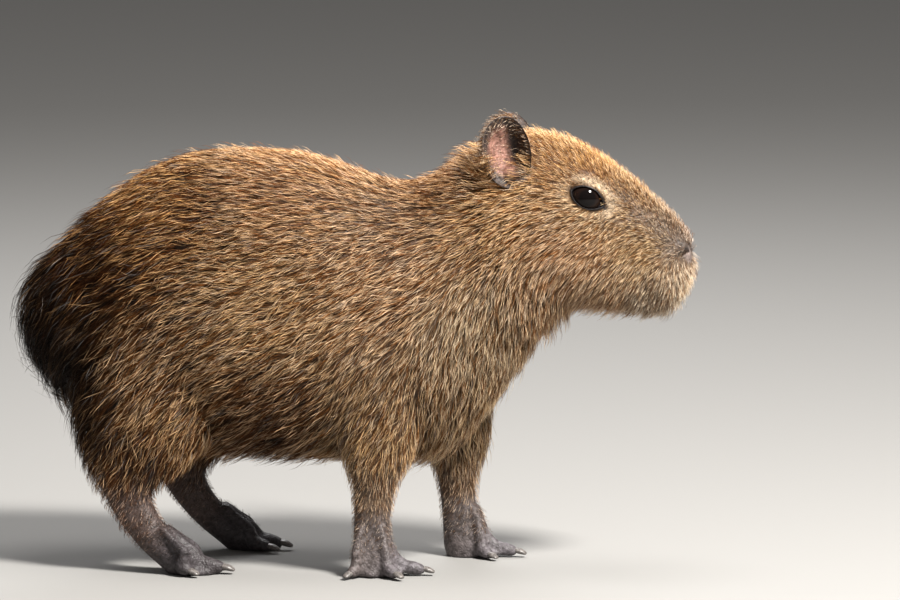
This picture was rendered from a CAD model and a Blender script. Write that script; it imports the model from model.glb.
# A young capybara that stands on a pale floor, at life size, as a display model.
# Metres. +X points forwards to the nose, +Y to the animal's left and +Z up.
import math

import bpy
import numpy as np
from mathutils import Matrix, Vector
from mathutils.bvhtree import BVHTree
from mathutils.kdtree import KDTree


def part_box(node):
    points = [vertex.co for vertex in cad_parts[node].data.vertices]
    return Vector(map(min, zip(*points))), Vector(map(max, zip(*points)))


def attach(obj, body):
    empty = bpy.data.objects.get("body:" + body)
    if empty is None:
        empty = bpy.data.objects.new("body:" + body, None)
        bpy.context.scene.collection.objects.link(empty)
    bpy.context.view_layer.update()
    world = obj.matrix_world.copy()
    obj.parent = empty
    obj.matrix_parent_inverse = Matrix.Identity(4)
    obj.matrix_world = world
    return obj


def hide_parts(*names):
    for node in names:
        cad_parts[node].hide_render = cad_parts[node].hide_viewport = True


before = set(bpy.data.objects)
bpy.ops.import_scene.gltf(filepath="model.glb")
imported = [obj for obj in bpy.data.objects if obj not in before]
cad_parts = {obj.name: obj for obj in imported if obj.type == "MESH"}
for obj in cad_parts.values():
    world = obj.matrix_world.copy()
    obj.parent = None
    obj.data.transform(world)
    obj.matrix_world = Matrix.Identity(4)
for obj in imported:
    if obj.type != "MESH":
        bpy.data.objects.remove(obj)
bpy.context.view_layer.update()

# Skin
# The whole hide, without its coat: trunk, neck, head, legs and paws in one closed surface. It is drawn
# over ribs, one for each cross-section, like plaster over a frame. Where the solids carry locks the hide
# lies on their core, and elsewhere it lies below the solids by the depth of the short coat.


def rib(top, bottom, half, wide=0.46, square=2.2, out=0.0):
    """One cross-section: its ends in side view, half its width, the level of its widest part as a share
    of its height, how square it is, and how far its middle lies from the midplane."""
    return (*top, *bottom, half, wide, square, out)


BODY = [
    rib((-0.2, 0.148), (-0.2, 0.148), 0.0),  # end of the rump
    rib((-0.195, 0.17), (-0.192, 0.126), 0.024),
    rib((-0.183, 0.187), (-0.177, 0.108), 0.037),
    rib((-0.165, 0.205), (-0.161, 0.092), 0.047),  # hip
    rib((-0.143, 0.225), (-0.142, 0.078), 0.054),
    rib((-0.119, 0.241), (-0.117, 0.07), 0.058, 0.44),  # loin
    rib((-0.092, 0.249), (-0.091, 0.069), 0.06, 0.42),
    rib((-0.062, 0.251), (-0.06, 0.068), 0.0615, 0.4),  # belly
    rib((-0.032, 0.249), (-0.032, 0.067), 0.0615, 0.4),
    rib((-0.006, 0.242), (-0.004, 0.065), 0.059, 0.42),  # shoulder
    rib((0.015, 0.235), (0.026, 0.065), 0.0555, 0.45),
    rib((0.031, 0.2325), (0.054, 0.071), 0.0515, 0.5),  # withers and chest
    rib((0.045, 0.236), (0.077, 0.092), 0.047, 0.52),
    rib((0.058, 0.243), (0.095, 0.117), 0.043, 0.52),  # neck
    rib((0.072, 0.251), (0.109, 0.135), 0.0395, 0.52),
    rib((0.087, 0.258), (0.119, 0.15), 0.037, 0.52),  # throat
    rib((0.104, 0.263), (0.129, 0.16), 0.0365, 0.5, 2.3),
    rib((0.123, 0.2605), (0.142, 0.16), 0.0355, 0.5, 2.35),  # brow
    rib((0.142, 0.253), (0.155, 0.1585), 0.033, 0.5, 2.4),  # eye
    rib((0.16, 0.241), (0.167, 0.157), 0.029, 0.5, 2.5),
    rib((0.177, 0.2275), (0.179, 0.156), 0.0255, 0.5, 2.6),  # bridge of the nose
    rib((0.191, 0.215), (0.189, 0.159), 0.0225, 0.5, 2.6),
    rib((0.1995, 0.204), (0.197, 0.165), 0.0185, 0.52, 2.6),  # nostrils
    rib((0.2035, 0.195), (0.202, 0.173), 0.0125, 0.52, 2.5),
    rib((0.2055, 0.184), (0.2055, 0.184), 0.0),  # tip of the nose
]
HIND_LEG = [
    rib((-0.114, 0.178), (-0.114, 0.178), 0.0, 0.5, 2, 0.03),
    rib((-0.086, 0.158), (-0.15, 0.162), 0.02, 0.5, 2, 0.031),
    rib((-0.076, 0.13), (-0.164, 0.134), 0.0245, 0.5, 2, 0.0325),  # thigh
    rib((-0.075, 0.102), (-0.166, 0.106), 0.0245, 0.5, 2, 0.034),
    rib((-0.085, 0.077), (-0.161, 0.082), 0.0205, 0.5, 2, 0.0365),  # knee
    rib((-0.102, 0.061), (-0.156, 0.065), 0.0155, 0.5, 2, 0.0395),
    rib((-0.116, 0.048), (-0.15, 0.051), 0.011, 0.48, 2, 0.042),  # hock
    rib((-0.113, 0.035), (-0.139, 0.032), 0.0095, 0.5, 2, 0.0435),
    rib((-0.104, 0.024), (-0.126, 0.016), 0.0095, 0.5, 2, 0.045),
    rib((-0.093, 0.016), (-0.113, 0.0045), 0.0105, 0.5, 2, 0.046),
    rib((-0.086, 0.0105), (-0.103, -0.003), 0.0095, 0.5, 2, 0.0465),  # ball of the foot
    rib((-0.09, 0.0), (-0.09, 0.0), 0.0, 0.5, 2, 0.0465),
]
FORELEG = [
    rib((0.02, 0.172), (0.02, 0.172), 0.0, 0.5, 2, 0.029),
    rib((0.046, 0.15), (-0.012, 0.146), 0.018, 0.5, 2, 0.03),  # shoulder
    rib((0.051, 0.12), (-0.015, 0.112), 0.0205, 0.5, 2, 0.0315),
    rib((0.046, 0.093), (-0.009, 0.086), 0.019, 0.5, 2, 0.0335),  # elbow
    rib((0.04, 0.072), (-0.002, 0.067), 0.0155, 0.5, 2, 0.0355),
    rib((0.0315, 0.055), (0.0025, 0.053), 0.0115, 0.5, 2, 0.037),
    rib((0.0275, 0.04), (0.0035, 0.038), 0.0095, 0.5, 2, 0.038),
    rib((0.0265, 0.027), (0.0035, 0.024), 0.009, 0.5, 2, 0.038),  # wrist
    rib((0.03, 0.015), (0.0025, 0.012), 0.0105, 0.5, 2, 0.039),
    rib((0.031, 0.006), (0.0025, 0.003), 0.0115, 0.5, 2, 0.0395),  # pad
    rib((0.028, -0.004), (0.006, -0.005), 0.009, 0.5, 2, 0.0395),
    rib((0.02, -0.008), (0.02, -0.008), 0.0, 0.5, 2, 0.04),
]
# Swellings and hollows of the head, on both sides: where, how far they reach, and their push outwards
FORMS = [
    ((0.143, 0.025, 0.243), (0.022, 0.014, 0.01), (0.0, 0.0034, 0.0016)),  # brow
    ((0.161, 0.027, 0.219), (0.013, 0.012, 0.009), (0.0, -0.0018, 0.0)),  # hollow before the eye
    ((0.126, 0.034, 0.19), (0.03, 0.018, 0.027), (0.0, 0.0026, 0.0)),  # cheek
    ((0.187, 0.022, 0.184), (0.017, 0.013, 0.017), (0.0006, 0.0034, 0.0)),  # whisker pad
    ((0.199, 0.012, 0.197), (0.009, 0.009, 0.009), (0.0016, 0.0026, 0.0014)),  # wing of the nostril
    ((0.186, 0.0, 0.158), (0.015, 0.018, 0.009), (0.0015, 0.0, -0.002)),  # chin
    ((0.179, 0.024, 0.163), (0.012, 0.01, 0.005), (0.0, -0.0016, 0.0)),  # corner of the mouth
    ((0.098, 0.03, 0.238), (0.017, 0.015, 0.017), (-0.001, 0.0026, 0.003)),  # root of the ear
]
# The coat by place in side view: x, z, degrees that the hair lies below straight back, length, depth
COAT = [
    (0.195, 0.212, -38, 0.004, 0.0012),  # bridge of the nose
    (0.15, 0.245, -28, 0.005, 0.0016),  # forehead
    (0.116, 0.258, -8, 0.007, 0.002),  # crown
    (0.15, 0.2, 30, 0.006, 0.0018),  # cheek
    (0.15, 0.163, 52, 0.0085, 0.0022),  # jaw
    (0.184, 0.159, 62, 0.0065, 0.0018),  # chin
    (0.19, 0.178, 60, 0.005, 0.0015),  # upper lip
    (0.118, 0.158, 65, 0.012, 0.0035),  # throat
    (0.085, 0.21, 34, 0.014, 0.0045),  # side of the neck
    (0.06, 0.24, 6, 0.015, 0.005),  # nape
    (0.03, 0.17, 30, 0.017, 0.0055),  # shoulder
    (-0.02, 0.24, 4, 0.017, 0.006),  # withers
    (-0.07, 0.205, 10, 0.018, 0.0065),  # back
    (-0.05, 0.14, 26, 0.02, 0.007),  # flank
    (-0.03, 0.088, 32, 0.02, 0.0075),  # low flank
    (-0.04, 0.07, 20, 0.02, 0.008),  # belly
    (-0.13, 0.215, 24, 0.021, 0.0075),  # croup
    (-0.18, 0.165, 42, 0.028, 0.01),  # rump
    (-0.175, 0.118, 48, 0.028, 0.01),  # below the rump
    (-0.12, 0.11, 48, 0.023, 0.008),  # thigh
    (-0.125, 0.066, 66, 0.018, 0.005),  # knee
    (0.075, 0.14, 72, 0.018, 0.0065),  # chest
    (0.096, 0.126, 98, 0.018, 0.006),  # breast
    (0.062, 0.085, 95, 0.02, 0.0055),
    (0.02, 0.092, 62, 0.016, 0.005),  # elbow
    (0.018, 0.058, 82, 0.01, 0.0026),  # forearm
    (-0.128, 0.04, 72, 0.006, 0.0014),  # hock
    (-0.105, 0.018, 40, 0.003, 0.0007),  # instep
    (0.02, 0.028, 86, 0.0045, 0.001),  # wrist
    (0.03, 0.01, 40, 0.0025, 0.0006),  # forepaw
]
NEAR = 0.016  # beyond this distance a place on the coat counts less
CORE = 0.5  # the solids' core lies this share of the coat's depth below its tips
HEAD_BACK = (0.0945, 0.0, 0.198)  # the plane where the head's short coat begins, and its way forwards
HEAD_WAY = (0.951, 0.0, 0.309)
FADE = 0.024  # behind it, the hide rises over this length from the full depth to the core

# The ball of the left eye, and the shell of its lids over it. The right eye's place in the solids gives
# where the part's own zero lies.
EYE_AT = np.array((0.1415, 0.0225, 0.227))
EYE_RADIUS = 0.011
LIDS_OVER = 0.0013
low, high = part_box("eye_right")
SHIFT = np.array((low + high) / 2) - EYE_AT * (1, -1, 1)


def ribs_at(ribs, s):
    """The rib at each place s, on a smooth curve through all of them, rounded off past both ends."""
    table = np.array(ribs)
    inside_out = table[:, [2, 3, 0, 1, 4, 5, 6, 7]] * (1, 1, 1, 1, -1, 1, 1, 1)
    table = np.vstack([inside_out[1], table, inside_out[-2]])
    i = np.minimum(np.floor(s).astype(int), len(ribs) - 2)
    t = (s - i)[:, None]
    a, b, c, d = (table[i + k] for k in range(4))
    bend = (2 * a - 5 * b + 4 * c - d) * t**2 + (3 * b - a - 3 * c + d) * t**3
    return 0.5 * (2 * b + (c - a) * t + bend)


def outline(ribs, s, turn):
    """Points of the ribs' outlines. turn runs from the upper point over the left side."""
    tx, tz, bx, bz, half, wide, square, out = ribs_at(ribs, s).T

    def bent(a):
        return np.sign(a) * np.abs(a) ** (2 / square)

    c = bent(np.cos(turn))
    level = wide + np.where(c > 0, 1 - wide, wide) * c
    return np.stack([bx + (tx - bx) * level, out + half * bent(np.sin(turn)), bz + (tz - bz) * level], 1)


def ramp(a, b, x):
    t = np.clip((x - a) / (b - a), 0, 1)
    return t * t * (3 - 2 * t)


def moulded(p):
    """Points of the body pushed by the head's swellings and hollows."""
    side = np.where(p[:, 1] < 0, -1.0, 1.0)
    moved = p.copy()
    for at, reach, push in FORMS:
        d = (((p * (1, 0, 1) + np.abs(p * (0, 1, 0)) - at) / reach) ** 2).sum(1)
        share = np.clip(1 - d, 0, 1) ** 2
        moved[:, 0] += push[0] * share
        moved[:, 1] += push[1] * share * side * np.minimum(1, np.abs(p[:, 1]) / 0.004)
        moved[:, 2] += push[2] * share
    return moved


def coat_at(p):
    """The lie in degrees, the length and the depth of the coat at each point."""
    places = np.array(COAT)
    apart = ((p[:, None, [0, 2]] - places[None, :, :2]) ** 2).sum(2)
    weight = 1 / (apart + NEAR**2) ** 2
    lie, long, deep = ((weight @ places[:, 2:]) / weight.sum(1)[:, None]).T
    return lie, long, deep


def hide_depth(p):
    behind = (np.array(HEAD_BACK) - p) @ np.array(HEAD_WAY)
    return coat_at(p)[2] * (1 - (1 - CORE) * ramp(0, FADE, behind))


def points_of(obj):
    flat = np.empty(len(obj.data.vertices) * 3)
    obj.data.vertices.foreach_get("co", flat)
    return flat.reshape(-1, 3)


def set_points(obj, points):
    obj.data.vertices.foreach_set("co", points.ravel())
    obj.data.update()


def select_only(*objs):
    bpy.ops.object.select_all(action="DESELECT")
    for obj in objs:
        obj.select_set(True)
    bpy.context.view_layer.objects.active = objs[0]


def face_outwards(obj):
    select_only(obj)
    bpy.ops.object.mode_set(mode="EDIT")
    bpy.ops.mesh.select_all(action="SELECT")
    bpy.ops.mesh.normals_make_consistent(inside=False)
    bpy.ops.object.mode_set(mode="OBJECT")


def drawn_over(name, around, rows, surface):
    """A sphere pulled over surface(s, turn), with rings at the places in rows and a pole at each end."""
    bpy.ops.mesh.primitive_uv_sphere_add(segments=around, ring_count=len(rows) - 1)
    obj = bpy.context.object
    obj.name = name
    x, y, z = points_of(obj).T
    row = np.round(np.arccos(np.clip(z, -1, 1)) / math.pi * (len(rows) - 1)).astype(int)
    pole = (row == 0) | (row == len(rows) - 1)
    set_points(obj, surface(np.array(rows, float)[row], np.where(pole, 0, np.arctan2(y, x))))
    face_outwards(obj)
    return obj


def sink(obj, depth):
    """Moves each vertex in along its normal by depth(points)."""
    points = points_of(obj)
    normals = np.empty(len(points) * 3)
    obj.data.vertex_normals.foreach_get("vector", normals)
    set_points(obj, points - normals.reshape(-1, 3) * depth(points)[:, None])


def joined(name, *objs):
    select_only(*objs)
    bpy.ops.object.join()
    bpy.context.object.name = name
    return bpy.context.object


def modified(obj, kind, **settings):
    """A modifier, applied."""
    select_only(obj)
    modifier = obj.modifiers.new(kind.title(), kind)
    for key, value in settings.items():
        setattr(modifier, key, value)
    bpy.ops.object.modifier_apply(modifier=modifier.name)
    return obj


def combined(obj, other, operation):
    modified(obj, "BOOLEAN", object=other, operation=operation, solver="MANIFOLD")
    bpy.data.objects.remove(other)
    return obj


def tube(name, stations, around, rows_between=4):
    """A closed tube of oval sections. Each station is a place, half its width and half its height."""
    table = np.array([(*at, wide, high) for at, wide, high in stations])
    last = len(table) - 1
    steps = np.linspace(0, last, last * rows_between + 1)

    def line(s):
        inner = np.clip(s, 0, last)
        i = np.minimum(np.floor(inner).astype(int), last - 1)
        t = (inner - i)[:, None]
        a, b, c, d = (table[np.clip(i + k, 0, last)] for k in (-1, 0, 1, 2))
        bend = (2 * a - 5 * b + 4 * c - d) * t**2
        return 0.5 * (2 * b + (c - a) * t + bend + (3 * b - a - 3 * c + d) * t**3)

    def surface(s, turn):
        here = line(s)
        way = line(np.maximum(s, 0) + 0.01)[:, :3] - line(np.minimum(s, last) - 0.01)[:, :3]
        way /= np.linalg.norm(way, axis=1)[:, None]
        across = np.cross((0, 0, 1), way)
        across /= np.linalg.norm(across, axis=1)[:, None]
        up = np.cross(way, across)
        end = ((s < 0) | (s > last))[:, None]
        wide, high = here[:, 3:4] * ~end, here[:, 4:5] * ~end
        past = np.where(s < 0, -0.5, np.where(s > last, 0.5, 0))[:, None] * here[:, 4:5]
        turn = turn[:, None]
        return here[:, :3] + way * past + across * wide * np.sin(turn) + up * high * np.cos(turn)

    return drawn_over(name, around, [-1, *steps, last + 1], surface)


BODY_ROWS = np.concatenate([[0, 0.1, 0.25, 0.45, 0.7], np.arange(1, 23.6, 0.2), [23.75, 23.9, 24]])
LEG_ROWS = np.concatenate([[0, 0.3, 0.6], np.arange(0.8, 10.9, 0.25), [11]])
STRIDES = {("hind", -1): 0.0, ("hind", 1): 0.022, ("fore", -1): 0.0, ("fore", 1): 0.047}
SWING_FROM = 0.15  # a leg swings forward below this height
SWING_BEND = 0.35
HIDE_GRAIN = 0.0016  # the hide's forms are fused at this fineness


def swing(stride, z):
    return stride * np.maximum(0, 1 - np.maximum(0, z) / SWING_FROM) ** SWING_BEND


def leg_surface(ribs, side, stride):
    def surface(s, turn):
        p = outline(ribs, s, turn)
        p[:, 0] += swing(stride, p[:, 2])
        return p * (1, side, 1)

    return surface


# Each toe from the inner side outwards: degrees turned out, how far ahead of the paw's middle it starts
# and how far beside it, length, thickness. The pad is the middle and the radii of the cushion of the sole,
# and the tendons run down the paw into the toes: how far along the toe's line, height, thickness.
PAWS = {
    "hind": {
        "at": (-0.104, 0.0465),
        "claw": 0.005,
        "pad": ((-0.091, 0.0465, 0.001), (0.0135, 0.0095, 0.0042)),
        "tendon": [(-0.0045, 0.0272, 0.0022), (0.005, 0.0196, 0.0027), (0.0125, 0.0132, 0.0034)],
        "toes": {
            "inner": (-16, 0.0, -0.0055, 0.027, 0.0045),
            "middle": (-1, 0.0, 0.0, 0.032, 0.005),
            "outer": (26, -0.002, 0.0065, 0.017, 0.0044),
        },
    },
    "fore": {
        "at": (0.019, 0.0395),
        "claw": 0.0045,
        "pad": ((0.018, 0.0395, 0.001), (0.0135, 0.0095, 0.0042)),
        "tendon": [(0.0035, 0.03, 0.002), (0.0062, 0.021, 0.0025), (0.009, 0.0125, 0.0032)],
        "toes": {
            "first": (-42, 0.0, -0.004, 0.019, 0.0039),
            "second": (-3, 0.0, -0.001, 0.029, 0.0044),
            "third": (46, 0.0, 0.0025, 0.02, 0.0042),
            "fourth": (118, -0.008, 0.003, 0.016, 0.0038),
        },
    },
}
# Along a toe: share of its length, height and half sizes as shares of its thickness
TOE = [(0.52, 1.3, 0.96, 0.92), (0.72, 1.0, 1.04, 0.94), (0.93, 0.7, 0.84, 0.7)]
WEB_HEIGHT = 0.0022


def toe_place(kind, side, toe, reach, height):
    """A place over a toe, at a reach along its line from where it starts."""
    turned, ahead, aside = toe[:3]
    x, y = PAWS[kind]["at"]
    start = np.array((x + ahead + float(swing(STRIDES[kind, side], 0)), side * (y + aside), height))
    way = np.array((math.cos(math.radians(turned)), side * math.sin(math.radians(turned)), 0))
    return start + way * reach


def toe_tube(kind, side, toe):
    long, thick = toe[3:]
    tendon = PAWS[kind]["tendon"]
    stations = [(toe_place(kind, side, toe, reach, height), r, r) for reach, height, r in tendon]
    for share, height, wide, high in TOE:
        place = toe_place(kind, side, toe, share * long, height * thick)
        stations.append((place, wide * thick, high * thick))
    return tube("toe", stations, 16)


def ball(at, radii):
    bpy.ops.mesh.primitive_uv_sphere_add(segments=32, ring_count=16)
    obj = bpy.context.object
    set_points(obj, points_of(obj) * radii + at)
    return obj


def web(kind, side, first, second):
    """The low skin between two toes."""
    a, b = (toe_place(kind, side, toe, 0.42 * toe[3], WEB_HEIGHT) for toe in (first, second))
    return ball((a + b) / 2, (0.34 * second[3], 0.005, 0.002))


def pad(kind, side):
    (x, y, z), radii = PAWS[kind]["pad"]
    return ball((x + float(swing(STRIDES[kind, side], 0)), side * y, z), radii)


parts = [drawn_over("body", 128, BODY_ROWS, lambda s, turn: moulded(outline(BODY, s, turn)))]
for kind, side in STRIDES:
    ribs = HIND_LEG if kind == "hind" else FORELEG
    parts.append(drawn_over("leg", 48, LEG_ROWS, leg_surface(ribs, side, STRIDES[kind, side])))
for part in parts:
    sink(part, hide_depth)
for kind, side in STRIDES:
    toes = list(PAWS[kind]["toes"].values())
    parts += [toe_tube(kind, side, toe) for toe in toes]
    parts += [web(kind, side, *pair) for pair in zip(toes, toes[1:])]
    parts.append(pad(kind, side))
parts += [ball(EYE_AT * (1, side, 1), (EYE_RADIUS + LIDS_OVER,) * 3) for side in (-1, 1)]
skin = joined("skin", *parts)
modified(skin, "REMESH", mode="VOXEL", voxel_size=HIDE_GRAIN, use_smooth_shade=True)
modified(skin, "SMOOTH", factor=0.5, iterations=3)

# The soles are flat where they bear on the floor
points = points_of(skin)
points[:, 2] = np.maximum(points[:, 2], 0.0)
set_points(skin, points)

# Ears
# Thin cups of skin that grow from the hide behind the eyes and look out to the sides. The front edge is
# rolled over, and two low folds run down the inside. They are fused to the hide.
EAR = {"at": (0.0957, 0.031, 0.2545), "up": 0.0215, "down": 0.022, "front": 0.015, "back": 0.0155}
EAR_CUP = {"bowl": 0.0085, "wall": 0.0019, "roll": 0.005}
EAR_FOLDS = {"high": 0.0011, "wide": 0.0019, "slope": 0.009}
EAR_LOOKS = (0.34, 1, 0.12)
EAR_LEAN = (-0.1, 0.16, 1)
LEFT_EAR_BACK = (-0.004, 0, -0.0035)  # the left ear is laid back a little
EAR_ROWS = 48


def unit(v):
    v = np.array(v, float)
    return v / np.linalg.norm(v)


def ear_frame():
    """The way that the cup looks, its way up and its way forwards."""
    looks = unit(EAR_LOOKS)
    up = unit(np.array(EAR_LEAN) - looks * (looks @ EAR_LEAN))
    front = unit(np.cross(looks, up))
    return looks, up, front if front[0] > 0 else -front


def ear_at(side):
    return np.array(EAR["at"]) + (LEFT_EAR_BACK if side > 0 else (0, 0, 0))


def ear_surface(side):
    looks, up, front = ear_frame()
    face = EAR_ROWS / 2

    def surface(row, turn):
        inside = row <= face
        share = np.where(inside, row, EAR_ROWS - row) / face
        c, s = np.cos(turn), np.sin(turn)
        across = np.where(s > 0, EAR["front"], EAR["back"]) * s * share
        tall = np.where(c > 0, EAR["up"], EAR["down"]) * c * share
        wall = np.where(inside, 0, EAR_CUP["wall"])
        cup = (EAR_CUP["bowl"] + wall) * (1 - share**2.4) + wall / 2
        roll = EAR_CUP["roll"] * np.maximum(0, s) ** 2 * share**4
        folds = EAR_FOLDS["high"] * np.sin(across / EAR_FOLDS["wide"] + tall / EAR_FOLDS["slope"])
        folds = folds * share * (1 - share**3) * inside
        p = ear_at(side) + front * (across - roll * 0.4)[:, None] + up * tall[:, None]
        p = p + looks * (roll + folds - cup)[:, None]
        return p * (1, side, 1)

    return surface


for side in (-1, 1):
    combined(skin, drawn_over("ear", 64, range(EAR_ROWS + 1), ear_surface(side)), "UNION")

# Eyelids
# The hide wraps the ball of each eye. It is opened by a slit that narrows to a corner in front, with a thin
# bare rim round it, and hollowed behind, so that the ball sits in a socket of its own.
EYE_LOOKS = (0.2, 1, 0.1)
LID_SLANT = math.radians(-24)  # the front corner is the lower one
OPENING = {"back": 0.0098, "front": 0.0108, "tall": 0.0062, "pinch": 0.42, "pinch_back": 0.2}
OPENING_DEPTHS = (0, 0.001, 0.026, 0.026)  # out from the ball's middle, from its inner end to its outer
SOCKET_GAP = 0.00015
# From the foot of the rim to its inner edge: how far out from the opening, and how high over the hide
LID_RIM = [(0.0017, -0.001), (0.0013, -0.0002), (0.0009, 0.0003), (0.0005, 0.0004), (0.0001, 0.0002)]


def eye_frame(side):
    looks = unit(np.array(EYE_LOOKS) * (1, side, 1))
    level = unit(np.array((1, 0, 0)) - looks * looks[0])
    up = np.array((0, 0, 1)) - looks * looks[2]
    up = unit(up - level * (up @ level))
    front = level * math.cos(LID_SLANT) + up * math.sin(LID_SLANT)
    over = up * math.cos(LID_SLANT) - level * math.sin(LID_SLANT)
    return looks, front, over


def lid_point(side, turn, grow):
    """Places round the opening, grown out from its edge."""
    looks, front, over = eye_frame(side)
    c = np.cos(turn)
    along = (np.where(c > 0, OPENING["front"], OPENING["back"]) + grow) * c
    pinched = np.where(c > 0, OPENING["pinch"], OPENING["pinch_back"]) * c**2
    tall = (OPENING["tall"] + grow) * np.sin(turn) * (1 - pinched)
    return EYE_AT * (1, side, 1) + front * along[:, None] + over * tall[:, None]


def tree_of(obj):
    mesh = obj.data
    return BVHTree.FromPolygons([v.co for v in mesh.vertices], [p.vertices for p in mesh.polygons])


def lids(side, hide):
    looks = eye_frame(side)[0]
    last = len(LID_RIM) + 1

    def surface(row, turn):
        i = np.clip(row.astype(int) - 1, 0, len(LID_RIM) - 1)
        grow, high = np.array(LID_RIM)[i].T
        p = lid_point(side, turn, grow)
        p[row == last] = EYE_AT * (1, side, 1)
        out = looks * 0.04
        for k, q in enumerate(p):
            hit = hide.ray_cast(Vector(q + out), Vector(-looks))[0]
            p[k] = np.array(hit) + looks * high[k]
        p[row == 0] = EYE_AT * (1, side, 1)
        return p

    return drawn_over("lids", 96, range(last + 1), surface)


def opening(side):
    looks = eye_frame(side)[0]

    def surface(row, turn):
        depth = np.array(OPENING_DEPTHS)[row.astype(int)]
        grow = np.where((row == 0) | (row == 3), -1, 0)
        p = lid_point(side, turn, 0 * turn)
        p[grow < 0] = EYE_AT * (1, side, 1)
        return p + looks * depth[:, None]

    return drawn_over("opening", 96, range(4), surface)


hide = tree_of(skin)
for side in (-1, 1):
    combined(skin, lids(side, hide), "UNION")
for side in (-1, 1):
    bpy.ops.mesh.primitive_uv_sphere_add(segments=64, ring_count=32, radius=EYE_RADIUS + SOCKET_GAP)
    socket = bpy.context.object
    set_points(socket, points_of(socket) + EYE_AT * (1, side, 1))
    combined(skin, socket, "DIFFERENCE")
    combined(skin, opening(side), "DIFFERENCE")

# Nose and mouth
# Two short curved nostrils in the nose pad, the line of the mouth from corner to corner, and the split of
# the upper lip. All are grooves in the hide.
NOSTRIL = [
    ((0.1905, 0.0135, 0.1885), 0.0008, 0.001),
    ((0.195, 0.0152, 0.1915), 0.003, 0.0022),
    ((0.1993, 0.0132, 0.1945), 0.0035, 0.0023),
    ((0.2028, 0.0088, 0.193), 0.0022, 0.0014),
]
LIP_SPLIT = [
    ((0.201, 0, 0.165), 0.0006, 0.001),
    ((0.2032, 0, 0.173), 0.0008, 0.0014),
    ((0.2046, 0, 0.183), 0.0006, 0.001),
]
MOUTH = {"corner": 0.177, "level": 0.19, "front": 0.1925, "height": 0.1665, "dip": 0.0025}
MOUTH_SIZE = (0.0012, 0.0006)


def mouth(hide):
    """The groove of the mouth, laid on the hide."""
    halves = []
    for side in (-1, 1):
        half = []
        for x in np.linspace(MOUTH["corner"], MOUTH["front"], 7):
            z = MOUTH["height"] - MOUTH["dip"] * (1 - ramp(MOUTH["corner"], MOUTH["level"], x))
            hit = hide.ray_cast(Vector((x, side * 0.05, z)), Vector((0, -side, 0)))[0]
            half.append((x, hit[1] - side * 0.0002, z))
        halves.append(half)
    tip = hide.ray_cast(Vector((0.25, 0, MOUTH["height"])), Vector((-1, 0, 0)))[0]
    line = [*halves[0], tuple(tip), *reversed(halves[1])]
    return tube("mouth", [(at, *MOUTH_SIZE) for at in line], 16)


hide = tree_of(skin)
for side in (-1, 1):
    stations = [((x, side * y, z), wide, high) for (x, y, z), wide, high in NOSTRIL]
    combined(skin, tube("nostril", stations, 24), "DIFFERENCE")
combined(skin, tube("lip_split", LIP_SPLIT, 16), "DIFFERENCE")
combined(skin, mouth(hide), "DIFFERENCE")

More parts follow.
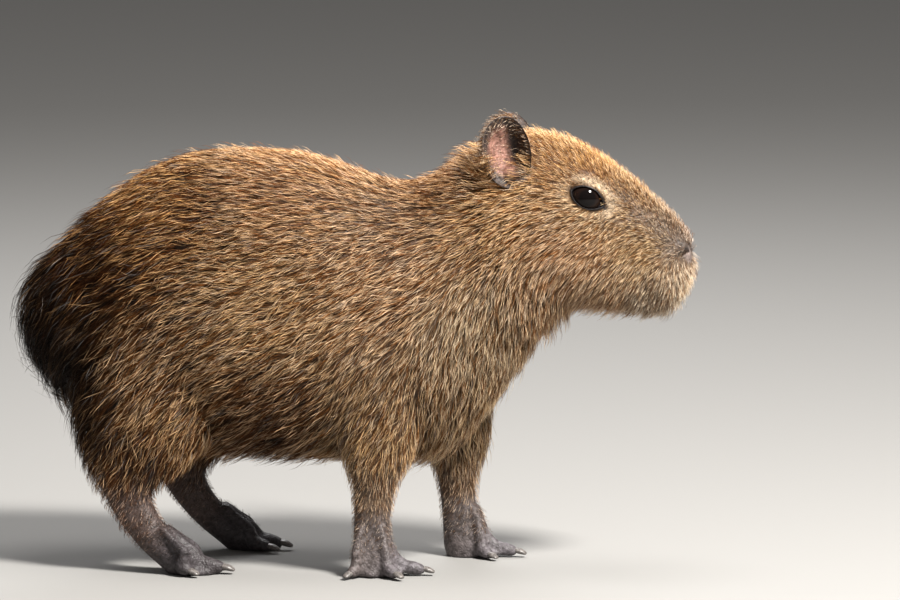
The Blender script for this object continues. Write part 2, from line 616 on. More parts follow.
# Markings
# The colours of the hide and of the coat, which both pieces take from one list of places, so that they
# agree. Pale is the outer half of a hair and dark its lower half, in linear red, green and blue.
MARKINGS = [
    # x, z, pale, dark
    (0.203, 0.2, (0.26, 0.21, 0.18), (0.1, 0.078, 0.068)),  # nose pad
    (0.194, 0.212, (0.34, 0.25, 0.17), (0.11, 0.075, 0.05)),  # above the nose
    (0.172, 0.231, (0.6, 0.38, 0.18), (0.12, 0.06, 0.026)),  # bridge of the nose
    (0.148, 0.247, (0.74, 0.42, 0.15), (0.15, 0.065, 0.02)),  # forehead
    (0.116, 0.257, (0.82, 0.52, 0.24), (0.2, 0.09, 0.03)),  # crown
    (0.15, 0.222, (0.88, 0.63, 0.36), (0.2, 0.11, 0.045)),  # before and below the eye
    (0.135, 0.195, (0.95, 0.64, 0.38), (0.2, 0.1, 0.042)),  # cheek
    (0.178, 0.195, (0.9, 0.64, 0.35), (0.2, 0.11, 0.042)),  # side of the muzzle
    (0.15, 0.165, (0.62, 0.42, 0.25), (0.16, 0.09, 0.045)),  # jaw
    (0.197, 0.174, (0.8, 0.64, 0.45), (0.36, 0.25, 0.16)),  # upper lip
    (0.182, 0.159, (0.6, 0.48, 0.35), (0.2, 0.135, 0.085)),  # chin
    (0.115, 0.155, (0.52, 0.35, 0.2), (0.09, 0.046, 0.02)),  # throat
    (0.085, 0.215, (0.7, 0.44, 0.21), (0.15, 0.072, 0.027)),  # side of the neck
    (0.055, 0.238, (0.42, 0.24, 0.11), (0.055, 0.024, 0.009)),  # nape
    (0.03, 0.18, (0.84, 0.56, 0.32), (0.12, 0.055, 0.021)),  # shoulder
    (-0.03, 0.24, (0.74, 0.44, 0.21), (0.13, 0.058, 0.02)),  # back
    (-0.04, 0.16, (0.74, 0.48, 0.24), (0.12, 0.058, 0.022)),  # flank
    (-0.04, 0.1, (0.27, 0.17, 0.095), (0.02, 0.009, 0.004)),  # low flank
    (-0.04, 0.07, (0.16, 0.11, 0.072), (0.014, 0.008, 0.005)),  # belly
    (-0.11, 0.22, (0.36, 0.2, 0.075), (0.035, 0.014, 0.005)),  # croup
    (-0.15, 0.19, (0.11, 0.058, 0.023), (0.01, 0.005, 0.003)),  # back of the rump
    (-0.175, 0.175, (0.03, 0.017, 0.008), (0.004, 0.003, 0.002)),
    (-0.19, 0.145, (0.012, 0.007, 0.004), (0.003, 0.002, 0.002)),  # end of the rump
    (-0.16, 0.13, (0.025, 0.015, 0.008), (0.004, 0.003, 0.002)),  # below the rump
    (-0.155, 0.1, (0.05, 0.029, 0.014), (0.005, 0.003, 0.002)),
    (-0.115, 0.125, (0.38, 0.25, 0.14), (0.022, 0.01, 0.004)),  # thigh
    (-0.1, 0.095, (0.4, 0.25, 0.12), (0.022, 0.011, 0.005)),
    (-0.13, 0.07, (0.2, 0.125, 0.065), (0.014, 0.008, 0.005)),  # knee
    (0.08, 0.15, (0.76, 0.58, 0.37), (0.15, 0.095, 0.05)),  # chest
    (0.07, 0.09, (0.56, 0.39, 0.22), (0.1, 0.055, 0.026)),
    (0.02, 0.08, (0.62, 0.4, 0.19), (0.11, 0.055, 0.022)),  # elbow
    (0.02, 0.05, (0.46, 0.32, 0.2), (0.11, 0.07, 0.042)),  # forearm
    (0.02, 0.025, (0.26, 0.21, 0.17), (0.095, 0.08, 0.076)),  # wrist
    (0.04, 0.008, (0.14, 0.12, 0.12), (0.1, 0.09, 0.096)),  # forepaw
    (-0.135, 0.035, (0.25, 0.17, 0.125), (0.075, 0.052, 0.044)),  # hock
    (-0.09, 0.012, (0.08, 0.066, 0.066), (0.045, 0.039, 0.041)),  # hind paw
]
MARKING_NEAR = 0.011
LEG_BELOW = 0.06  # the left legs' markings are carried forward with their stride
FORELEG_AHEAD = -0.03
LID_DARK = (0.009, 0.007, 0.007)
EYE_RING = (0.92, 0.71, 0.48)
EAR_INSIDE = (0.23, 0.12, 0.09)
EAR_EDGE = (0.05, 0.038, 0.033)
EAR_PIT = (0.028, 0.018, 0.014)
NOSE = (0.17, 0.132, 0.115)


def markings_at(p):
    """Pale and dark at each point, given in the part's own place."""
    places = np.array([(x, z, *pale, *dark) for x, z, pale, dark in MARKINGS])
    left_leg = (p[:, 2] < LEG_BELOW) & (p[:, 1] > 0)
    stride = np.where(p[:, 0] > FORELEG_AHEAD, STRIDES["fore", 1], STRIDES["hind", 1])
    shifted = p[:, 0] - np.where(left_leg, stride, 0)
    apart = (np.stack([shifted, p[:, 2]], 1)[:, None] - places[None, :, :2]) ** 2
    weight = 1 / (apart.sum(2) + MARKING_NEAR**2) ** 2
    mixed = (weight @ places[:, 2:]) / weight.sum(1)[:, None]
    return mixed[:, :3], mixed[:, 3:]


def faded(colour, towards, share):
    return colour + (np.array(towards) - colour) * share[:, None]


def ear_share(p):
    """How far each point lies inside an ear's cup, from 0 at its rim to 1 at its bottom, and -1 off it.
    Then how far it lies towards the ear's front edge, and towards its top."""
    found = np.full((len(p), 3), -1.0)
    looks, up, front = ear_frame()
    for side in (-1, 1):
        q = p * (1, side, 1) - ear_at(side)
        across, tall, out = q @ front / EAR["front"], q @ up / EAR["up"], q @ looks
        near = np.sqrt(across**2 + tall**2)
        cup = EAR_CUP["bowl"] * (1 - np.minimum(near, 1) ** 2.4)
        inside = (near < 1.04) & (out > -cup - 0.0007) & (out < 0.012) & (p[:, 1] * side > 0)
        place = np.stack([1 - np.minimum(near, 1), across, tall], 1)
        found = np.where(inside[:, None], place, found)
    return found.T


def round_eye(p):
    """Distance of each point from the opening between the lids, and its place along and across the slit."""
    found = np.tile((1.0, 1.0, 1.0), (len(p), 1))
    for side in (-1, 1):
        looks, front, over = eye_frame(side)
        q = p - EYE_AT * (1, side, 1)
        along, tall = q @ front, q @ over
        long = np.where(along > 0, OPENING["front"], OPENING["back"])
        beyond = (np.sqrt((along / long) ** 2 + (tall / OPENING["tall"]) ** 2) - 1) * OPENING["tall"]
        near = (q @ looks > 0) & (p[:, 1] * side > 0)
        found = np.where(near[:, None], np.stack([beyond, along, tall], 1), found)
    return found.T


def lid_share(p):
    """1 on the bare rim of the eyes and in their corners, falling to 0 where the coat begins."""
    beyond, along, tall = round_eye(p)
    rim = 1 - ramp(0.0003, 0.0009, beyond)
    corner = (1 - ramp(0.0125, 0.016, along)) * (1 - ramp(0.001, 0.0028, np.abs(tall + 0.0005)))
    back = (1 - ramp(0.0105, 0.013, -along)) * (1 - ramp(0.0006, 0.0022, np.abs(tall)))
    corners = np.maximum(corner * (along > 0.008), back * (along < -0.008))
    return np.maximum(rim, corners * (beyond < 0.01))


def ring_share(p):
    """1 in the pale ring of hair above and ahead of each eye."""
    beyond, along, tall = round_eye(p)
    ring = ramp(0.0006, 0.0022, beyond) * (1 - ramp(0.0035, 0.0075, beyond))
    return ring * (0.3 + 0.7 * ramp(-0.004, 0.006, tall + 0.5 * along))


def nose_share(p):
    """1 on the bare pad round the nostrils."""
    away = np.abs(p * (0, 1, 0)) + p * (1, 0, 1) - (0.2025, 0.009, 0.1925)
    return 1 - ramp(0.004, 0.0068, np.linalg.norm(away / (1, 1.3, 0.95), axis=1))


class Maths:
    """A value in a shader that can be used in an expression."""

    def __init__(self, tree, socket):
        self.tree = tree
        self.socket = socket

    def with_maths(self, operation, *values):
        node = self.tree.nodes.new("ShaderNodeMath")
        node.operation = operation
        for slot_in, value in zip(node.inputs, values):
            if isinstance(value, Maths):
                self.tree.links.new(value.socket, slot_in)
            else:
                slot_in.default_value = value
        return Maths(self.tree, node.outputs[0])

    def __add__(self, other):
        return self.with_maths("ADD", self, other)

    def __mul__(self, other):
        return self.with_maths("MULTIPLY", self, other)

    __radd__ = __add__
    __rmul__ = __mul__


class Finish:
    """A material with one Principled shader, and nodes added by one method."""

    def __init__(self, name, **constants):
        self.material = bpy.data.materials.new(name)
        self.material.use_nodes = True
        self.tree = self.material.node_tree
        self.shader = next(n for n in self.tree.nodes if n.type == "BSDF_PRINCIPLED")
        for key, value in constants.items():
            self.shader.inputs[key.replace("_", " ")].default_value = value

    def node(self, kind, settings=None, output=0, stops=(), **sockets):
        node = self.tree.nodes.new(kind)
        for key, value in (settings or {}).items():
            setattr(node, key, value)
        for i, (position, colour) in enumerate(stops):
            node.color_ramp.elements[i].position = position
            node.color_ramp.elements[i].color = colour
        for key, value in sockets.items():
            self.link(value, node.inputs[key.replace("_", " ")])
        return Maths(self.tree, node.outputs[output])

    def link(self, value, socket):
        if isinstance(value, Maths):
            self.tree.links.new(value.socket, socket)
        else:
            socket.default_value = value

    def feed(self, **sockets):
        for key, value in sockets.items():
            self.link(value, self.shader.inputs[key.replace("_", " ")])


def give_colour(obj, colour):
    attribute = obj.data.attributes.new("colour", "FLOAT_COLOR", "POINT")
    opaque = np.column_stack([colour, np.ones(len(colour))])
    attribute.data.foreach_set("color", opaque.astype(np.float32).ravel())


p = points_of(skin)
pale, dark = markings_at(p)
feet = 1 - ramp(0.03, 0.07, p[:, 2])
hide_colour = dark * (0.55 + 0.45 * feet)[:, None]
hide_colour = faded(hide_colour, NOSE, nose_share(p))
in_ear, ear_front, ear_top = ear_share(p)
hide_colour = faded(hide_colour, EAR_EDGE, (in_ear >= 0) * 1.0)
pink = ramp(0.16, 0.4, in_ear) * (1 - ramp(0.05, 0.4, ear_front)) * ramp(-0.9, -0.4, ear_top)
hide_colour = faded(hide_colour, EAR_INSIDE, pink)
hide_colour = faded(hide_colour, EAR_PIT, ramp(0.12, 0.3, in_ear) * ramp(0.1, 0.5, ear_front))
hide_colour = faded(hide_colour, np.array(EYE_RING) * 0.4, ring_share(p))
hide_colour = faded(hide_colour, LID_DARK, lid_share(p))
give_colour(skin, hide_colour)

OBJECT_PLACE = 3  # the output of the coordinate node that gives the place on the piece
MIXED_A, MIXED_B, MIXED = 6, 7, 2  # the colour sockets of the mixing node
MOTTLE = [(0.34, (0.45, 0.43, 0.42, 1)), (0.68, (1.5, 1.5, 1.55, 1))]
hide_finish = Finish("hide", Specular_IOR_Level=0.28, Roughness=0.5)
place = hide_finish.node("ShaderNodeTexCoord", output=OBJECT_PLACE)
coloured = hide_finish.node("ShaderNodeAttribute", {"attribute_name": "colour"})
mottle = hide_finish.node("ShaderNodeTexNoise", Vector=place, Scale=420.0, Detail=4.0, Roughness=0.6)
to_edge = {"feature": "DISTANCE_TO_EDGE"}
creases = hide_finish.node("ShaderNodeTexVoronoi", to_edge, Vector=place, Scale=520.0)
times = {"data_type": "RGBA", "blend_type": "MULTIPLY"}
shade = hide_finish.node("ShaderNodeMix", times, output=MIXED, Factor=1.0)
mottled = hide_finish.node("ShaderNodeValToRGB", stops=MOTTLE, Fac=mottle)
hide_finish.link(coloured, shade.socket.node.inputs[MIXED_A])
hide_finish.link(mottled, shade.socket.node.inputs[MIXED_B])
relief = mottle * 0.7 + creases * 1.4
bumps = hide_finish.node("ShaderNodeBump", Strength=0.5, Distance=0.0007, Height=relief)
hide_finish.feed(Base_Color=shade, Normal=bumps)

set_points(skin, p + SHIFT)
skin.data.materials.clear()
skin.data.materials.append(hide_finish.material)
select_only(skin)
bpy.ops.object.shade_smooth()
bpy.ops.object.mode_set(mode="EDIT")
bpy.ops.mesh.select_all(action="SELECT")
bpy.ops.uv.smart_project(angle_limit=1.2, island_margin=0.002)
bpy.ops.object.mode_set(mode="OBJECT")
skin.data.uv_layers[0].name = "OFBake"
FLESH = [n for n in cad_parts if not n.startswith(("claw", "eye"))]
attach(skin, "root")
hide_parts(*FLESH)

# Eyes
# Two wet dark balls in the sockets. The clear front stands a little proud of the ball, the iris is a brown
# so dark that it hardly parts from the pupil, and a paler ring marks the edge of the clear front.
CORNEA_REACH = 0.62  # of a right angle from the middle of the look
CORNEA_HIGH = 0.0007
PUPIL = (0.003, 0.002, 0.002)
IRIS = (0.008, 0.004, 0.003)
CORNEA_EDGE = (0.03, 0.03, 0.036)
BALL_BEHIND = (0.02, 0.014, 0.012)
eye_finish = Finish("wet_eye", Roughness=0.03, IOR=1.38, Specular_IOR_Level=0.28)
ball_colour = eye_finish.node("ShaderNodeAttribute", {"attribute_name": "colour"})
eye_finish.feed(Base_Color=ball_colour)
for side, name in ((-1, "right"), (1, "left")):
    bpy.ops.mesh.primitive_uv_sphere_add(segments=64, ring_count=48, radius=EYE_RADIUS)
    eyeball = bpy.context.object
    eyeball.name = f"eyeball_{name}"
    looks, front, over = eye_frame(side)
    q = points_of(eyeball)
    angle = np.arccos(np.clip(q[:, 2] / EYE_RADIUS, -1, 1)) / (math.pi / 2)
    q = q * (1 + CORNEA_HIGH / EYE_RADIUS * (1 - ramp(0, CORNEA_REACH, angle)))[:, None]
    q = q[:, :1] * front + q[:, 1:2] * over + q[:, 2:] * looks
    set_points(eyeball, q + EYE_AT * (1, side, 1) + SHIFT)
    face_outwards(eyeball)
    colour = faded(np.tile(PUPIL, (len(q), 1)), IRIS, ramp(0.25, 0.35, angle))
    colour = faded(colour, CORNEA_EDGE, ramp(0.56, 0.66, angle) * (1 - ramp(0.68, 0.8, angle)))
    colour = faded(colour, BALL_BEHIND, ramp(0.7, 0.85, angle))
    give_colour(eyeball, colour)
    eyeball.data.materials.append(eye_finish.material)
    bpy.ops.object.shade_smooth()
    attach(eyeball, "root")
    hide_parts(f"eye_{name}")

# Claws
# Short blunt hooves of dark horn, one at the end of each toe, arched above and worn at the tip.
# Along a claw: share of its way to the tip, height, half width and half height as shares of the toe's
CLAW = [
    (-0.9, 0.98, 0.5, 0.3),
    (0.0, 0.8, 0.64, 0.4),
    (0.45, 0.66, 0.6, 0.35),
    (0.85, 0.5, 0.48, 0.25),
    (1, 0.44, 0.36, 0.16),
]
HORN_COLOURS = [(0.35, (0.07, 0.062, 0.058, 1)), (0.75, (0.2, 0.18, 0.17, 1))]
horn = Finish("horn", Roughness=0.38, Specular_IOR_Level=0.5)
place = horn.node("ShaderNodeTexCoord", output=OBJECT_PLACE)
grain = horn.node("ShaderNodeTexNoise", Vector=place, Scale=900.0)
horn_colour = horn.node("ShaderNodeValToRGB", stops=HORN_COLOURS, Fac=grain)
horn_relief = horn.node("ShaderNodeBump", Strength=0.3, Distance=0.0003, Height=grain)
horn.feed(Base_Color=horn_colour, Normal=horn_relief)
for kind, side in STRIDES:
    hand = "right" if side < 0 else "left"
    for toe_name, toe in PAWS[kind]["toes"].items():
        stations = []
        long, thick = toe[3:]
        for share, height, wide, high in CLAW:
            place = toe_place(kind, side, toe, long + share * PAWS[kind]["claw"], height * thick)
            stations.append((place + SHIFT, wide * thick, high * thick))
        claw = tube(f"horn_{kind}_{hand}_{toe_name}", stations, 20)
        claw.data.materials.append(horn.material)
        bpy.ops.object.shade_smooth()
        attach(claw, "root")
        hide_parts(f"claw_{kind}_{hand}_{toe_name}")

# Coat
# Coarse bristles in tufts, rooted in the hide. Each is a thin closed blade of three sides that follows the
# lie of the coat over the body, and the bristles of one tuft draw together towards their tips. Short and
# fine on the face and feet, it is longest at the rump, where it stands away from the body.
SEED = 41
# Bristles in each square metre of hide
DENSITY = {"head": 1330e3, "neck": 740e3, "trunk": 485e3, "leg": 590e3, "foot": 260e3, "ear": 500e3}
TUFT = 6  # bristles in a tuft
DARK_SHARE = (0.38, 0.8)  # of all bristles, where the coat is palest and where it is darkest
BRIGHT_SHARE = 0.26  # of all bristles, lighter than those round them
CREAM = (0.95, 0.84, 0.72)  # the bright ones fade a little towards this
LONG = 0.0128  # bristles longer than this have one more joint
OFBAKE_PATCH = 0.003  # the place of one bristle on the unwrap
LOWEST = 0.0004  # no bristle goes nearer to the floor
# Pieces of the coat between the ribs of the body, from the rump forwards
REGIONS = {
    4.4: "rump",
    7.2: "loin",
    9.8: "side",
    12.4: "shoulder",
    16: "neck",
    18.2: "cheek",
    20: "face",
    24: "muzzle",
}
draws = np.random.default_rng(SEED)


def surface_samples():
    """Places over the body and legs, each with its piece, its rib and its place on an unwrap of the hide."""
    points, labels, ribs, unwrapped = [], [], [], []
    sheets = [("body", lambda s, turn: moulded(outline(BODY, s, turn)), BODY_ROWS, 96)]
    for kind, side in STRIDES:
        bones = HIND_LEG if kind == "hind" else FORELEG
        hand = "right" if side < 0 else "left"
        surface = leg_surface(bones, side, STRIDES[kind, side])
        sheets.append((f"{kind}_leg_{hand}", surface, LEG_ROWS[4:], 32))
    for label, surface, rows, around in sheets:
        rows = np.clip(rows, 0.03, len(BODY) - 1.03)
        turns = np.arange(around) / around * math.tau
        s, turn = (a.ravel() for a in np.meshgrid(rows, turns, indexing="ij"))
        p = surface(s, turn).reshape(len(rows), around, 3)
        walked = np.cumsum(np.linalg.norm(np.diff(p, axis=0, prepend=p[:1]), axis=2).mean(1))
        points.append(p.reshape(-1, 3))
        labels += [label] * len(s)
        ribs.append(s)
        unwrapped.append(np.stack([np.repeat(walked, around), turn / math.tau * 0.4], 1))
    return np.vstack(points), np.array(labels), np.concatenate(ribs), np.vstack(unwrapped)


sheet_points, sheet_labels, sheet_ribs, sheet_unwrapped = surface_samples()
nearest_sheet = KDTree(len(sheet_points))
for i, q in enumerate(sheet_points):
    nearest_sheet.insert(q, i)
nearest_sheet.balance()


def rooted(obj, density_at):
    """Roots spread over a mesh: their places and the normals there."""
    mesh = obj.data
    mesh.calc_loop_triangles()
    corners = np.empty(len(mesh.loop_triangles) * 3, int)
    mesh.loop_triangles.foreach_get("vertices", corners)
    corners = corners.reshape(-1, 3)
    p = points_of(obj) - SHIFT
    normals = np.empty(len(p) * 3)
    mesh.vertex_normals.foreach_get("vector", normals)
    normals = normals.reshape(-1, 3)
    a, b, c = (p[corners[:, k]] for k in range(3))
    area = np.linalg.norm(np.cross(b - a, c - a), axis=1) / 2
    expected = area * density_at((a + b + c) / 3, normals[corners].mean(1))
    count = draws.poisson(expected)
    which = np.repeat(np.arange(len(corners)), count)
    u, v = draws.random((2, len(which)))
    over = u + v > 1
    u, v = np.where(over, 1 - u, u), np.where(over, 1 - v, v)
    share = np.stack([1 - u - v, u, v], 1)[:, :, None]
    roots = (p[corners[which]] * share).sum(1)
    out = (normals[corners[which]] * share).sum(1)
    return roots, out / np.linalg.norm(out, axis=1)[:, None]


def density_at(p, normal):
    behind = (np.array(HEAD_BACK) - p) @ np.array(HEAD_WAY)
    density = np.where(behind < 0, DENSITY["head"], DENSITY["neck"])
    density = density + (DENSITY["trunk"] - density) * ramp(0.0, 0.05, behind)
    density = density + (DENSITY["leg"] - density) * (1 - ramp(0.05, 0.09, p[:, 2])) * (behind > 0.02)
    density = density + (DENSITY["foot"] - density) * (1 - ramp(0.015, 0.03, p[:, 2]))
    density = density * ramp(0.007, 0.018, p[:, 2])
    inside = ear_share(p)[0]
    density = np.where(inside >= 0, DENSITY["ear"] * (1 - 0.75 * ramp(0.2, 0.5, inside)), density)
    density = density * (1 + 0.6 * ring_share(p)) * (1 - lid_share(p)) * (1 - 0.93 * nose_share(p))
    return density * (p[:, 2] > 0.004) * (normal[:, 2] > np.where(p[:, 2] < 0.008, -0.3, -2))


roots, normals = rooted(skin, density_at)
count = len(roots)
lie, long, deep = coat_at(roots)
behind = (np.array(HEAD_BACK) - roots) @ np.array(HEAD_WAY)
rump = 1 - ramp(-0.185, -0.105, roots[:, 0])
on_ear = np.zeros(count, bool)
for side in (-1, 1):
    looks, up, front = ear_frame()
    q = roots * (1, side, 1) - ear_at(side)
    high_enough = (q @ up > -0.004) & (np.abs(q @ front) < 0.019) & (np.abs(q @ looks) < 0.014)
    on_ear |= high_enough & (roots[:, 1] * side > 0.012) & (roots[:, 2] > 0.25)

# Tufts: each bristle belongs to the nearest of a few chosen roots, and shares its bent and its colour
leads = draws.choice(count, count // TUFT, replace=False)
lead_tree = KDTree(len(leads))
for i, k in enumerate(leads):
    lead_tree.insert(roots[k], i)
lead_tree.balance()
tuft = np.array([lead_tree.find(q)[1] for q in roots])
towards = roots[leads[tuft]] - roots
tuft_turn = draws.normal(0, 1, len(leads))[tuft]
tuft_lift = draws.random(len(leads))[tuft]
tuft_shade = draws.normal(0, 1, len(leads))[tuft]

stray = draws.random(count) < 0.035 + 0.05 * rump
turned = lie + tuft_turn * (5 + 4 * rump) + draws.normal(0, 1, count) * np.where(stray, 15, 5)
long = long * np.where(on_ear, 0.5, 1) * (1 + 0.16 * draws.normal(0, 1, count)).clip(0.55, 1.5 - 0.25 * rump)
long = long * (1 - 0.45 * ring_share(roots)) * np.where(behind > 0, 0.8 + 0.2 * rump, 0.85)
long = long * (1 - 0.35 * (1 - ramp(0.04, 0.085, roots[:, 2])))
depth = hide_depth(roots) * np.where(on_ear, 0.5, 1)
rise = depth * (0.3 + 0.6 * tuft_lift + 0.4 * draws.random(count))
on_head = ramp(-0.02, 0.0, -behind) * (roots[:, 2] > 0.15)
below = ramp(0.3, 0.9, -normals[:, 2]) * (roots[:, 2] > 0.05)
hanging = 0.007 * below * tuft_lift * long / 0.018
rise = rise + (0.0012 + 0.0066 * rump * tuft_lift**2) * (behind > 0) + hanging
astray = np.where(stray, (0.24 - 0.1 * rump) * long, 0)
rise = rise + on_head * long * 0.75 * draws.random(count) ** 1.5 + astray
curl = draws.normal(0, 0.05, count) + 0.06 * tuft_turn * draws.random(len(leads))[tuft]
wave = draws.normal(0, 0.045, len(leads))[tuft] + draws.normal(0, 0.02, count)
joints = np.array((0, 0.3, 0.65, 1))
hide_points = [v.co - Vector(SHIFT) for v in skin.data.vertices]
hide = BVHTree.FromPolygons(hide_points, [f.vertices for f in skin.data.polygons])


def way_at(p, normal):
    angle = np.radians(turned)
    way = np.stack([-np.cos(angle), 0 * angle, -np.sin(angle)], 1)
    spread = np.stack([0 * angle, 0.12 * np.sign(p[:, 1]) * (p[:, 0] < -0.1), 0 * angle], 1)
    way = way + spread - normal * ((way + spread) * normal).sum(1)[:, None]
    return way / np.maximum(np.linalg.norm(way, axis=1), 1e-6)[:, None]


# Each bristle walks over the hide along the lie, and is then raised off it
walk, outs, ways = [roots], [normals], [way_at(roots, normals)]
for t0, t1 in zip(joints, joints[1:]):
    ahead = walk[-1] + ways[-1] * (long * (t1 - t0))[:, None]
    found = [hide.find_nearest(Vector(q)) for q in ahead]
    there = np.array([hit[0] for hit in found])
    out = np.array([hit[1] for hit in found])
    out = outs[-1] * 0.35 + out * 0.65
    out /= np.linalg.norm(out, axis=1)[:, None]
    step = there - walk[-1]
    flat = ahead - out * ((ahead - there) * out).sum(1)[:, None]
    keep = (np.linalg.norm(step, axis=1) < 1.3 * long * (t1 - t0))[:, None]
    walk.append(np.where(keep, flat, ahead))
    outs.append(out)
    ways.append(way_at(walk[-1], out))
pull = np.where(behind > 0, 0.32 + 0.35 * rump, 0.2)
line = []
for t, here, out in zip(joints, walk, outs):
    gathered = towards - out * (towards * out).sum(1)[:, None]
    high = rise * (1 - (1 - t) ** 1.7) - 0.0005 * (t == 0)
    aside = np.cross(out, ways[0]) * ((curl * t**2 + wave * math.sin(t * 7)) * long)[:, None]
    place = here + gathered * (pull * t**1.4)[:, None] + out * high[:, None] + aside
    place[:, 2] = np.maximum(place[:, 2], LOWEST)
    line.append(place)

# Colours: dark at the root, pale towards the tip, with whole tufts lighter or darker
pale, dark = markings_at(roots)
ring = ring_share(roots)
pale = faded(pale, EYE_RING, ring)
pale = np.where(on_ear[:, None], pale * 0.25 + (0.2, 0.18, 0.165), pale)
shade = np.exp(0.14 * tuft_shade + 0.16 * draws.normal(0, 1, count))[:, None]
dusk = 1 - ramp(0.1, 0.6, pale[:, 0])
kind = draws.random(count)
is_dark = (kind < (DARK_SHARE[0] + (DARK_SHARE[1] - DARK_SHARE[0]) * dusk) * (1 - 0.8 * ring))[:, None]
is_bright = (kind > 1 - BRIGHT_SHARE * (1 - 0.5 * dusk) * ramp(0.015, 0.04, roots[:, 2]))[:, None]
lit = pale * (1 + 1.5 * dusk)[:, None]
pale = lit * shade * np.where(is_bright, 1.5, 1.1)
pale = np.where(is_dark, lit * shade * (0.3, 0.165, 0.065) * (1 - 0.5 * dusk[:, None]), pale)
ghost = (draws.random(count) < 0.05)[:, None]
pale = np.where(ghost, pale * 0.5 + 0.16, pale)
pale = pale * np.minimum(1, 0.93 / pale.max(1))[:, None]
pale = faded(pale, CREAM, 0.26 * (is_bright[:, 0] & ~is_dark[:, 0]) * (1 - dusk))
tone = np.array((0.06, 0.42, 1.0, 1.0))
width = np.interp(long, (0.002, 0.006, 0.014, 0.028), (0.00018, 0.00023, 0.00034, 0.00044))
width = width * (1 + 0.25 * draws.normal(0, 1, count)).clip(0.5, 1.6)
taper = np.array((1.0, 0.95, 0.62))

coat_finish = Finish("bristle", Roughness=0.4, Specular_IOR_Level=0.12)
coat_finish.feed(Base_Color=coat_finish.node("ShaderNodeAttribute", {"attribute_name": "colour"}))


def bristles(chosen, rings):
    """Points, colours, faces and unwrapped places of the chosen bristles, ringed at some joints."""
    n = len(chosen)
    tip = line[-1][chosen]
    points, colours = [], []
    for j in rings:
        here = line[j][chosen]
        after = line[rings[rings.index(j) + 1]][chosen] if j != rings[-1] else tip
        way = after - here
        way /= np.linalg.norm(way, axis=1)[:, None]
        across = np.cross(way, outs[j][chosen])
        across /= np.maximum(np.linalg.norm(across, axis=1), 1e-6)[:, None]
        over = np.cross(across, way)
        half = (width[chosen] * taper[j] / 2)[:, None]
        for angle in (90, 210, 330):
            c, s = math.cos(math.radians(angle)), math.sin(math.radians(angle))
            points.append(here + across * half * c + over * half * s * 0.8)
        share = tone[j]
        mixed = dark[chosen] * (1 - share) * 0.8 + pale[chosen] * share * np.where(ghost[chosen], 1, share)
        colours += [mixed] * 3
    points.append(tip)
    colours.append(pale[chosen])
    each = 3 * len(rings) + 1
    points = np.stack(points, 1).reshape(-1, 3)
    colours = np.stack(colours, 1).reshape(-1, 3)
    faces = [(2, 1, 0)]
    for r in range(len(rings) - 1):
        for k in range(3):
            m = (k + 1) % 3
            faces.append((3 * r + k, 3 * r + m, 3 * r + 3 + m, 3 * r + 3 + k))
    last = 3 * (len(rings) - 1)
    faces += [(last + k, last + (k + 1) % 3, last + 3) for k in range(3)]
    along = np.array([r for r in range(len(rings)) for _ in range(3)] + [len(rings)]) / len(rings)
    aside = np.array([0, 0.5, 1] * len(rings) + [0.5])
    return n, each, points, colours, faces, np.stack([aside, along], 1)


def coat_piece(name, chosen, unwrapped):
    mesh = bpy.data.meshes.new(name)
    points, colours, loops, starts, places = [], [], [], [], []
    base = loop_base = 0
    for group, rings in ((chosen[long[chosen] <= LONG], [0, 2]), (chosen[long[chosen] > LONG], [0, 1, 2])):
        if not len(group):
            continue
        n, each, p, colour, faces, patch = bristles(group, rings)
        flat = np.concatenate([np.array(f) for f in faces])
        sizes = np.array([len(f) for f in faces])
        loops.append((flat[None] + (np.arange(n) * each)[:, None] + base).ravel())
        begin = np.concatenate([[0], np.cumsum(sizes)[:-1]])
        starts.append((begin[None] + (np.arange(n) * len(flat))[:, None] + loop_base).ravel())
        places.append((unwrapped[group][:, None] + (patch[flat][None] - 0.5) * OFBAKE_PATCH).reshape(-1, 2))
        points.append(p)
        colours.append(colour)
        base += len(p)
        loop_base += n * len(flat)
    mesh.vertices.add(base)
    mesh.vertices.foreach_set("co", (np.vstack(points) + SHIFT).astype(np.float32).ravel())
    mesh.loops.add(loop_base)
    mesh.loops.foreach_set("vertex_index", np.concatenate(loops).astype(np.int32))
    starts = np.concatenate(starts).astype(np.int32)
    mesh.polygons.add(len(starts))
    mesh.polygons.foreach_set("loop_start", starts)
    mesh.update(calc_edges=True)
    layer = mesh.uv_layers.new(name="OFBake")
    layer.data.foreach_set("uv", np.vstack(places).astype(np.float32).ravel())
    obj = bpy.data.objects.new(name, mesh)
    bpy.context.scene.collection.objects.link(obj)
    give_colour(obj, np.vstack(colours))
    mesh.materials.append(coat_finish.material)
    mesh.polygons.foreach_set("use_smooth", np.ones(len(starts), bool))
    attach(obj, "root")
    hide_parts(*FLESH)


found = np.array([nearest_sheet.find(q)[1] for q in roots])
labels, ribs = sheet_labels[found], sheet_ribs[found]
hands = np.where(roots[:, 1] < 0, "right", "left")
names = labels.astype(object)
rear = -1
for top, region in REGIONS.items():
    of_region = (labels == "body") & (ribs > rear) & (ribs <= top)
    names[of_region] = [f"{region}_{hand}" for hand in hands[of_region]]
    rear = top
for name in sorted(set(names)):
    chosen = np.flatnonzero(names == name)
    spots = sheet_unwrapped[found[chosen]]
    corner, size = spots.min(0), np.ptp(spots, axis=0).max()
    unwrapped = np.zeros((count, 2))
    scattered = draws.uniform(-0.006, 0.006, (len(chosen), 2))
    unwrapped[chosen] = 0.02 + 0.96 * (spots - corner) / size + scattered
    coat_piece(f"coat_{name}", chosen, unwrapped)

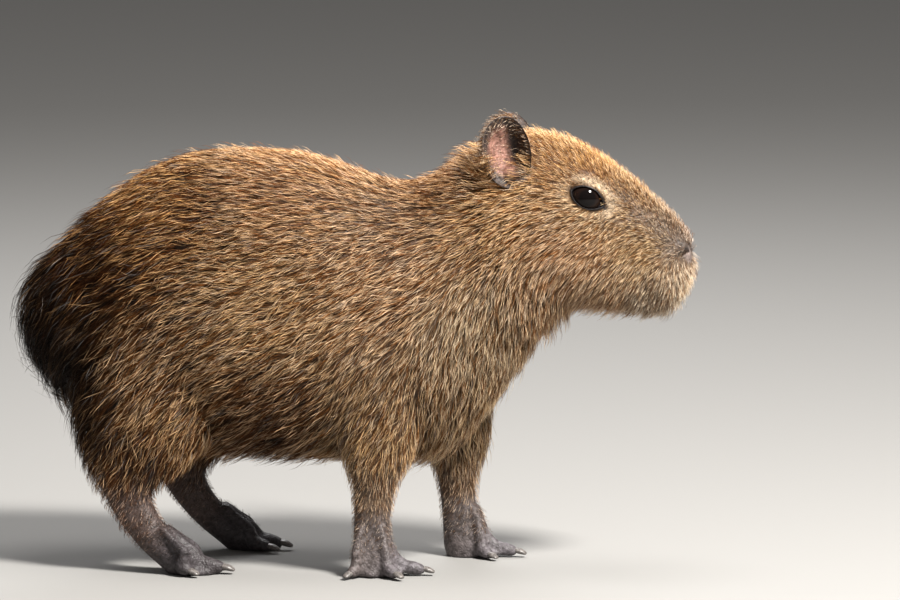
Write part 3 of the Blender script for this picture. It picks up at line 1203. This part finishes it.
# Floor
# A plain pale sheet that the model stands on. It isn't part of the object.
bpy.ops.mesh.primitive_plane_add(size=24, location=(0, 0, -0.0004))
floor = bpy.context.object
floor.name = "floor"
floor_finish = Finish("pale_floor", Base_Color=(0.25, 0.245, 0.238, 1), Roughness=0.9)
floor.data.materials.append(floor_finish.material)

# Camera and lights
# The camera stands where the photographer stood, low and a little ahead of the animal's side. Soft light
# comes from a large panel above and ahead, with weaker ones from the camera's side and from behind.
LOOK_AT = Vector((0.0574, 0.0, 0.1613)) + Vector(SHIFT)
CAMERA_TURN = math.radians(7.0)
CAMERA_RISE = math.radians(7.5)
CAMERA_AWAY = 4.5
camera_data = bpy.data.cameras.new("camera")
camera_data.lens = 300
camera_data.sensor_width = 36
camera = bpy.data.objects.new("camera", camera_data)
bpy.context.scene.collection.objects.link(camera)
level = Vector((math.sin(CAMERA_TURN), -math.cos(CAMERA_TURN), 0))
towards_camera = level * math.cos(CAMERA_RISE) + Vector((0, 0, math.sin(CAMERA_RISE)))
camera.location = LOOK_AT + CAMERA_AWAY * towards_camera
camera.rotation_euler = (LOOK_AT - camera.location).to_track_quat("-Z", "Y").to_euler()
camera_data.clip_end = 50
bpy.context.scene.camera = camera


def panel(name, place, size, power, colour=(1, 1, 1)):
    light = bpy.data.lights.new(name, "AREA")
    light.size = size
    light.energy = power
    light.color = colour
    obj = bpy.data.objects.new(name, light)
    bpy.context.scene.collection.objects.link(obj)
    obj.location = place
    obj.rotation_euler = (Vector((0, 0, 0.14)) - obj.location).to_track_quat("-Z", "Y").to_euler()


panel("key", Vector((1.0, -0.8, 1.6)), 0.35, 120, (1.0, 0.97, 0.92))
panel("top", Vector((0.1, 0.1, 2.0)), 0.9, 20, (1.0, 0.98, 0.96))
panel("rim", Vector((-0.3, 1.3, 1.4)), 0.8, 16)
world = bpy.data.worlds.new("studio")
bpy.context.scene.world = world
world.use_nodes = True
world.node_tree.nodes["Background"].inputs["Color"].default_value = (1.0, 0.98, 0.96, 1)
world.node_tree.nodes["Background"].inputs["Strength"].default_value = 0.24

bpy.context.scene.view_settings.view_transform = "Standard"
